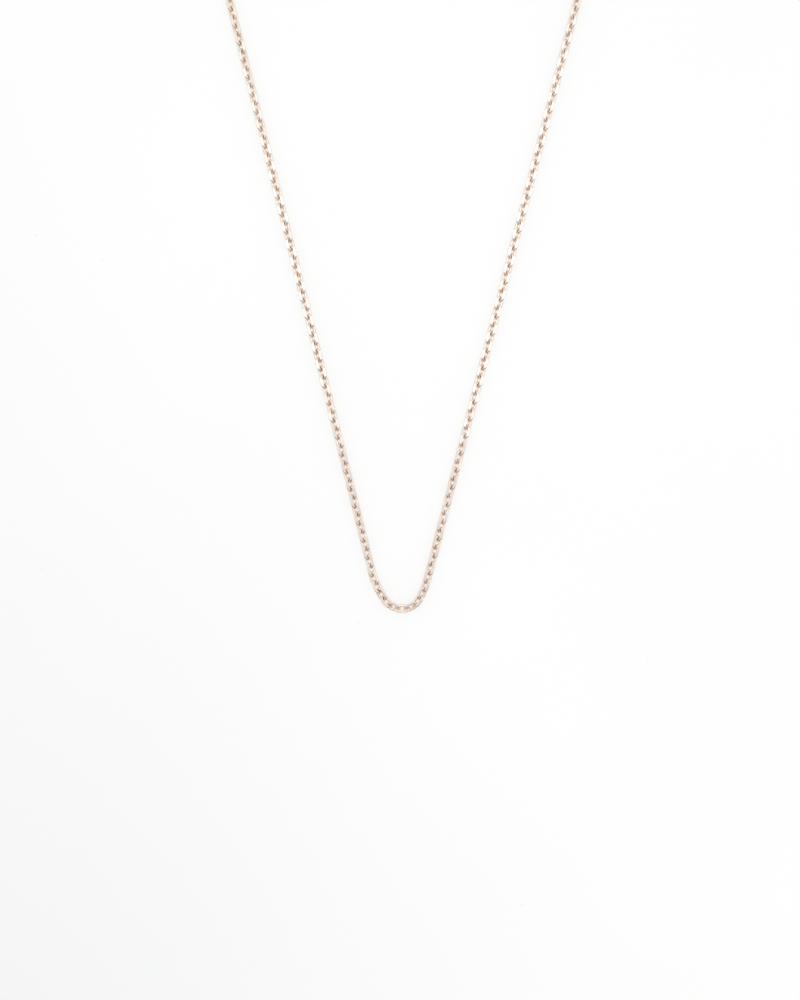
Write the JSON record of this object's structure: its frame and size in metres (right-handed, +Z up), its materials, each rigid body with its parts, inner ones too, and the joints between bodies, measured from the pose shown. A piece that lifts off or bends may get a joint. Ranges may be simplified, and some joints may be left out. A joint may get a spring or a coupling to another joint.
{
  "type": "chain necklace",
  "caption": "Fine diamond-cut cable chain necklace in rose gold, lying flat in a V with a round bottom bend, with an open lobster clasp and an end ring with a plain tag.",
  "frame": {"origin": "middle of the lying necklace's bounding box, on the surface it lies on", "axes": "+Y from the bottom bend towards the clasp, +Z up off the surface, +X towards the strand that carries the clasp"},
  "size_m": [0.0862, 0.2072, 0.0029],
  "materials": {
    "chain_rose_gold": "polished rose-gold plating with mirror-bright diamond-cut facets on the outer side of every link",
    "clasp_rose_gold": "cast and polished rose-gold plating",
    "rivet_rose_gold": "turned and burnished",
    "ring_rose_gold": "drawn wire, polished",
    "tag_rose_gold": "stamped, polished faces",
    "spring_steel": "bright spring wire"
  },
  "bodies": {
    "chain_bottom": {"chain_bottom": "chain_rose_gold"},
    "chain_right_01": {"chain_right_01": "chain_rose_gold"},
    "chain_right_02": {"chain_right_02": "chain_rose_gold"},
    "chain_right_03": {"chain_right_03": "chain_rose_gold"},
    "chain_right_04": {"chain_right_04": "chain_rose_gold"},
    "chain_right_05": {"chain_right_05": "chain_rose_gold"},
    "chain_right_06": {"chain_right_06": "chain_rose_gold"},
    "chain_right_07": {"chain_right_07": "chain_rose_gold"},
    "chain_right_08": {"chain_right_08": "chain_rose_gold"},
    "chain_right_09": {"chain_right_09": "chain_rose_gold"},
    "chain_right_10": {"chain_right_10": "chain_rose_gold"},
    "chain_right_11": {"chain_right_11": "chain_rose_gold"},
    "chain_right_12": {"chain_right_12": "chain_rose_gold"},
    "chain_right_13": {"chain_right_13": "chain_rose_gold"},
    "chain_right_14": {"chain_right_14": "chain_rose_gold"},
    "chain_right_15": {"chain_right_15": "chain_rose_gold"},
    "chain_right_16": {"chain_right_16": "chain_rose_gold"},
    "chain_right_17": {"chain_right_17": "chain_rose_gold"},
    "chain_right_18": {"chain_right_18": "chain_rose_gold"},
    "chain_right_19": {"chain_right_19": "chain_rose_gold"},
    "chain_right_20": {"chain_right_20": "chain_rose_gold"},
    "chain_right_21": {"chain_right_21": "chain_rose_gold"},
    "chain_right_22": {"chain_right_22": "chain_rose_gold"},
    "chain_right_23": {"chain_right_23": "chain_rose_gold"},
    "chain_right_24": {"chain_right_24": "chain_rose_gold"},
    "chain_right_25": {"chain_right_25": "chain_rose_gold"},
    "chain_left_01": {"chain_left_01": "chain_rose_gold"},
    "chain_left_02": {"chain_left_02": "chain_rose_gold"},
    "chain_left_03": {"chain_left_03": "chain_rose_gold"},
    "chain_left_04": {"chain_left_04": "chain_rose_gold"},
    "chain_left_05": {"chain_left_05": "chain_rose_gold"},
    "chain_left_06": {"chain_left_06": "chain_rose_gold"},
    "chain_left_07": {"chain_left_07": "chain_rose_gold"},
    "chain_left_08": {"chain_left_08": "chain_rose_gold"},
    "chain_left_09": {"chain_left_09": "chain_rose_gold"},
    "chain_left_10": {"chain_left_10": "chain_rose_gold"},
    "chain_left_11": {"chain_left_11": "chain_rose_gold"},
    "chain_left_12": {"chain_left_12": "chain_rose_gold"},
    "chain_left_13": {"chain_left_13": "chain_rose_gold"},
    "chain_left_14": {"chain_left_14": "chain_rose_gold"},
    "chain_left_15": {"chain_left_15": "chain_rose_gold"},
    "chain_left_16": {"chain_left_16": "chain_rose_gold"},
    "chain_left_17": {"chain_left_17": "chain_rose_gold"},
    "chain_left_18": {"chain_left_18": "chain_rose_gold"},
    "chain_left_19": {"chain_left_19": "chain_rose_gold"},
    "chain_left_20": {"chain_left_20": "chain_rose_gold"},
    "chain_left_21": {"chain_left_21": "chain_rose_gold"},
    "chain_left_22": {"chain_left_22": "chain_rose_gold"},
    "chain_left_23": {"chain_left_23": "chain_rose_gold"},
    "chain_left_24": {"chain_left_24": "chain_rose_gold"},
    "chain_left_25": {"chain_left_25": "chain_rose_gold"},
    "clasp_jump_ring": {"clasp_jump_ring": "ring_rose_gold"},
    "clasp": {"clasp_body": "clasp_rose_gold", "clasp_pivot_pin": "rivet_rose_gold", "clasp_spring": "spring_steel"},
    "clasp_trigger": {"clasp_trigger": "clasp_rose_gold"},
    "end_ring": {"end_ring": "ring_rose_gold"},
    "tag_ring": {"tag_ring": "ring_rose_gold"},
    "tag": {"tag": "tag_rose_gold"}
  },
  "joints": [
    {"name": "clasp_ring_swing", "type": "hinge", "parent": "chain_right_25", "child": "clasp_jump_ring", "pos_m": [0.01088, 0.09927, 0.00102], "axis": [0.2766, 0.961, 0], "range_deg": [-75, 20]},
    {"name": "clasp_swivel", "type": "hinge", "parent": "clasp_jump_ring", "child": "clasp", "pos_m": [0.00937, 0.0997, 0.00092], "axis": [0, 0, 1], "range_deg": [-40, 40]},
    {"name": "clasp_trigger_pivot", "type": "hinge", "parent": "clasp", "child": "clasp_trigger", "pos_m": [0.00583, 0.09952, 0.00092], "axis": [0, 0, 1], "range_deg": [-20, 0], "stiffness_Nm_per_rad": 0.003, "springref_deg": 11.46},
    {"name": "end_ring_swing", "type": "hinge", "parent": "chain_left_25", "child": "end_ring", "pos_m": [-0.01117, 0.09919, 0.00081], "axis": [0, 0, 1], "range_deg": [-25, 25]},
    {"name": "tag_ring_swing", "type": "hinge", "parent": "end_ring", "child": "tag_ring", "pos_m": [-0.00801, 0.10012, 0.00082], "axis": [0.2833, -0.959, 0], "range_deg": [-60, 60]},
    {"name": "tag_swivel", "type": "hinge", "parent": "tag_ring", "child": "tag", "pos_m": [-0.00671, 0.10051, 0.0009], "axis": [0.1418, 0.0419, 0.989], "range_deg": [-30, 30]},
    {"name": "link_hinge_right_01", "type": "hinge", "parent": "chain_bottom", "child": "chain_right_01", "pos_m": [0.00237, -0.10228, 0.00064], "axis": [0.312, -0.6346, -0.7071], "range_deg": [-45, 45]},
    {"name": "link_hinge_left_01", "type": "hinge", "parent": "chain_bottom", "child": "chain_left_01", "pos_m": [-0.00184, -0.10234, 0.00064], "axis": [-0.2845, -0.6474, -0.7071], "range_deg": [-45, 45]},
    {"name": "link_hinge_right_02", "type": "hinge", "parent": "chain_right_01", "child": "chain_right_02", "pos_m": [0.00405, -0.09863, 0.00064], "axis": [-0.665, 0.2403, -0.7071], "range_deg": [-45, 45]},
    {"name": "link_hinge_left_02", "type": "hinge", "parent": "chain_left_01", "child": "chain_left_02", "pos_m": [-0.00388, -0.09889, 0.00064], "axis": [0.6368, 0.3075, -0.7071], "range_deg": [-45, 45]},
    {"name": "link_hinge_right_03", "type": "hinge", "parent": "chain_right_02", "child": "chain_right_03", "pos_m": [0.005, -0.09477, 0.00064], "axis": [-0.6853, 0.1741, 0.7071], "range_deg": [-45, 45]},
    {"name": "link_hinge_left_03", "type": "hinge", "parent": "chain_left_02", "child": "chain_left_03", "pos_m": [-0.00493, -0.09505, 0.00064], "axis": [0.6853, 0.1741, 0.7071], "range_deg": [-45, 45]},
    {"name": "link_hinge_right_04", "type": "hinge", "parent": "chain_right_03", "child": "chain_right_04", "pos_m": [0.00728, -0.08578, 0.00064], "axis": [0.6853, -0.1741, 0.7071], "range_deg": [-45, 45]},
    {"name": "link_hinge_left_04", "type": "hinge", "parent": "chain_left_03", "child": "chain_left_04", "pos_m": [-0.00721, -0.08606, 0.00064], "axis": [-0.6853, -0.1741, 0.7071], "range_deg": [-45, 45]},
    {"name": "link_hinge_right_05", "type": "hinge", "parent": "chain_right_04", "child": "chain_right_05", "pos_m": [0.00957, -0.07679, 0.00064], "axis": [0.6853, -0.1741, -0.7071], "range_deg": [-45, 45]},
    {"name": "link_hinge_left_05", "type": "hinge", "parent": "chain_left_04", "child": "chain_left_05", "pos_m": [-0.0095, -0.07707, 0.00064], "axis": [-0.6853, -0.1741, -0.7071], "range_deg": [-45, 45]},
    {"name": "link_hinge_right_06", "type": "hinge", "parent": "chain_right_05", "child": "chain_right_06", "pos_m": [0.01185, -0.0678, 0.00064], "axis": [-0.6853, 0.1741, -0.7071], "range_deg": [-45, 45]},
    {"name": "link_hinge_left_06", "type": "hinge", "parent": "chain_left_05", "child": "chain_left_06", "pos_m": [-0.01178, -0.06808, 0.00064], "axis": [0.6853, 0.1741, -0.7071], "range_deg": [-45, 45]},
    {"name": "link_hinge_right_07", "type": "hinge", "parent": "chain_right_06", "child": "chain_right_07", "pos_m": [0.01413, -0.05881, 0.00064], "axis": [-0.6853, 0.1741, 0.7071], "range_deg": [-45, 45]},
    {"name": "link_hinge_left_07", "type": "hinge", "parent": "chain_left_06", "child": "chain_left_07", "pos_m": [-0.01406, -0.0591, 0.00064], "axis": [0.6853, 0.1741, 0.7071], "range_deg": [-45, 45]},
    {"name": "link_hinge_right_08", "type": "hinge", "parent": "chain_right_07", "child": "chain_right_08", "pos_m": [0.01642, -0.04982, 0.00064], "axis": [0.6853, -0.1741, 0.7071], "range_deg": [-45, 45]},
    {"name": "link_hinge_left_08", "type": "hinge", "parent": "chain_left_07", "child": "chain_left_08", "pos_m": [-0.01635, -0.05011, 0.00064], "axis": [-0.6853, -0.1741, 0.7071], "range_deg": [-45, 45]},
    {"name": "link_hinge_right_09", "type": "hinge", "parent": "chain_right_08", "child": "chain_right_09", "pos_m": [0.0187, -0.04083, 0.00064], "axis": [0.6853, -0.1741, -0.7071], "range_deg": [-45, 45]},
    {"name": "link_hinge_left_09", "type": "hinge", "parent": "chain_left_08", "child": "chain_left_09", "pos_m": [-0.01863, -0.04112, 0.00064], "axis": [-0.6853, -0.1741, -0.7071], "range_deg": [-45, 45]},
    {"name": "link_hinge_right_10", "type": "hinge", "parent": "chain_right_09", "child": "chain_right_10", "pos_m": [0.02098, -0.03184, 0.00064], "axis": [-0.6853, 0.1741, -0.7071], "range_deg": [-45, 45]},
    {"name": "link_hinge_left_10", "type": "hinge", "parent": "chain_left_09", "child": "chain_left_10", "pos_m": [-0.02091, -0.03213, 0.00064], "axis": [0.6853, 0.1741, -0.7071], "range_deg": [-45, 45]},
    {"name": "link_hinge_right_11", "type": "hinge", "parent": "chain_right_10", "child": "chain_right_11", "pos_m": [0.02327, -0.02285, 0.00064], "axis": [-0.6853, 0.1741, 0.7071], "range_deg": [-45, 45]},
    {"name": "link_hinge_left_11", "type": "hinge", "parent": "chain_left_10", "child": "chain_left_11", "pos_m": [-0.02319, -0.02314, 0.00064], "axis": [0.6853, 0.1741, 0.7071], "range_deg": [-45, 45]},
    {"name": "link_hinge_right_12", "type": "hinge", "parent": "chain_right_11", "child": "chain_right_12", "pos_m": [0.02555, -0.01386, 0.00064], "axis": [0.6853, -0.1741, 0.7071], "range_deg": [-45, 45]},
    {"name": "link_hinge_left_12", "type": "hinge", "parent": "chain_left_11", "child": "chain_left_12", "pos_m": [-0.02548, -0.01415, 0.00064], "axis": [-0.6853, -0.1741, 0.7071], "range_deg": [-45, 45]},
    {"name": "link_hinge_right_13", "type": "hinge", "parent": "chain_right_12", "child": "chain_right_13", "pos_m": [0.02783, -0.00487, 0.00064], "axis": [0.6853, -0.1741, -0.7071], "range_deg": [-45, 45]},
    {"name": "link_hinge_left_13", "type": "hinge", "parent": "chain_left_12", "child": "chain_left_13", "pos_m": [-0.02776, -0.00516, 0.00064], "axis": [-0.6853, -0.1741, -0.7071], "range_deg": [-45, 45]},
    {"name": "link_hinge_right_14", "type": "hinge", "parent": "chain_right_13", "child": "chain_right_14", "pos_m": [0.03011, 0.00412, 0.00064], "axis": [-0.6853, 0.1741, -0.7071], "range_deg": [-45, 45]},
    {"name": "link_hinge_left_14", "type": "hinge", "parent": "chain_left_13", "child": "chain_left_14", "pos_m": [-0.03004, 0.00383, 0.00064], "axis": [0.6853, 0.1741, -0.7071], "range_deg": [-45, 45]},
    {"name": "link_hinge_right_15", "type": "hinge", "parent": "chain_right_14", "child": "chain_right_15", "pos_m": [0.0324, 0.01311, 0.00064], "axis": [-0.6853, 0.1741, 0.7071], "range_deg": [-45, 45]},
    {"name": "link_hinge_left_15", "type": "hinge", "parent": "chain_left_14", "child": "chain_left_15", "pos_m": [-0.03233, 0.01282, 0.00064], "axis": [0.6853, 0.1741, 0.7071], "range_deg": [-45, 45]},
    {"name": "link_hinge_right_16", "type": "hinge", "parent": "chain_right_15", "child": "chain_right_16", "pos_m": [0.03468, 0.0221, 0.00064], "axis": [0.6853, -0.1741, 0.7071], "range_deg": [-45, 45]},
    {"name": "link_hinge_left_16", "type": "hinge", "parent": "chain_left_15", "child": "chain_left_16", "pos_m": [-0.03461, 0.02181, 0.00064], "axis": [-0.6853, -0.1741, 0.7071], "range_deg": [-45, 45]},
    {"name": "link_hinge_right_17", "type": "hinge", "parent": "chain_right_16", "child": "chain_right_17", "pos_m": [0.03696, 0.03109, 0.00064], "axis": [0.6853, -0.1741, -0.7071], "range_deg": [-45, 45]},
    {"name": "link_hinge_left_17", "type": "hinge", "parent": "chain_left_16", "child": "chain_left_17", "pos_m": [-0.03689, 0.0308, 0.00064], "axis": [-0.6853, -0.1741, -0.7071], "range_deg": [-45, 45]},
    {"name": "link_hinge_right_18", "type": "hinge", "parent": "chain_right_17", "child": "chain_right_18", "pos_m": [0.03925, 0.04008, 0.00064], "axis": [-0.6853, 0.1741, -0.7071], "range_deg": [-45, 45]},
    {"name": "link_hinge_left_18", "type": "hinge", "parent": "chain_left_17", "child": "chain_left_18", "pos_m": [-0.03918, 0.03979, 0.00064], "axis": [0.6853, 0.1741, -0.7071], "range_deg": [-45, 45]},
    {"name": "link_hinge_right_19", "type": "hinge", "parent": "chain_right_18", "child": "chain_right_19", "pos_m": [0.04152, 0.04907, 0.00064], "axis": [-0.6873, 0.1661, 0.7071], "range_deg": [-45, 45]},
    {"name": "link_hinge_left_19", "type": "hinge", "parent": "chain_left_18", "child": "chain_left_19", "pos_m": [-0.04145, 0.04878, 0.00064], "axis": [0.6861, 0.1709, 0.7071], "range_deg": [-45, 45]},
    {"name": "link_hinge_right_20", "type": "hinge", "parent": "chain_right_19", "child": "chain_right_20", "pos_m": [0.0425, 0.05828, 0.00064], "axis": [0.707, -0.0133, 0.7071], "range_deg": [-45, 45]},
    {"name": "link_hinge_left_20", "type": "hinge", "parent": "chain_left_19", "child": "chain_left_20", "pos_m": [-0.04251, 0.05798, 0.00064], "axis": [-0.7069, -0.0183, 0.7071], "range_deg": [-45, 45]},
    {"name": "link_hinge_right_21", "type": "hinge", "parent": "chain_right_20", "child": "chain_right_21", "pos_m": [0.04147, 0.06748, 0.00064], "axis": [0.6931, 0.14, -0.7071], "range_deg": [-45, 45]},
    {"name": "link_hinge_left_21", "type": "hinge", "parent": "chain_left_20", "child": "chain_left_21", "pos_m": [-0.04154, 0.06719, 0.00064], "axis": [-0.6941, 0.1352, -0.7071], "range_deg": [-45, 45]},
    {"name": "link_hinge_right_22", "type": "hinge", "parent": "chain_right_21", "child": "chain_right_22", "pos_m": [0.03848, 0.07624, 0.00064], "axis": [-0.6463, -0.2868, -0.7071], "range_deg": [-45, 45]},
    {"name": "link_hinge_left_22", "type": "hinge", "parent": "chain_left_21", "child": "chain_left_22", "pos_m": [-0.0386, 0.07597, 0.00064], "axis": [0.6483, -0.2823, -0.7071], "range_deg": [-45, 45]},
    {"name": "link_hinge_right_23", "type": "hinge", "parent": "chain_right_22", "child": "chain_right_23", "pos_m": [0.03365, 0.08414, 0.00064], "axis": [-0.5689, -0.4199, 0.7071], "range_deg": [-45, 45]},
    {"name": "link_hinge_left_23", "type": "hinge", "parent": "chain_left_22", "child": "chain_left_23", "pos_m": [-0.03383, 0.08391, 0.00064], "axis": [0.5718, -0.4159, 0.7071], "range_deg": [-45, 45]},
    {"name": "link_hinge_right_24", "type": "hinge", "parent": "chain_right_23", "child": "chain_right_24", "pos_m": [0.02723, 0.09081, 0.00064], "axis": [0.4645, 0.5331, 0.7071], "range_deg": [-45, 45]},
    {"name": "link_hinge_left_24", "type": "hinge", "parent": "chain_left_23", "child": "chain_left_24", "pos_m": [-0.02746, 0.09062, 0.00064], "axis": [-0.4682, 0.5299, 0.7071], "range_deg": [-45, 45]},
    {"name": "link_hinge_right_25", "type": "hinge", "parent": "chain_right_24", "child": "chain_right_25", "pos_m": [0.01952, 0.09593, 0.00064], "axis": [0.3381, 0.6211, -0.7071], "range_deg": [-45, 45]},
    {"name": "link_hinge_left_25", "type": "hinge", "parent": "chain_left_24", "child": "chain_left_25", "pos_m": [-0.01979, 0.0958, 0.00064], "axis": [-0.3424, 0.6187, -0.7071], "range_deg": [-45, 45]}
  ]
}
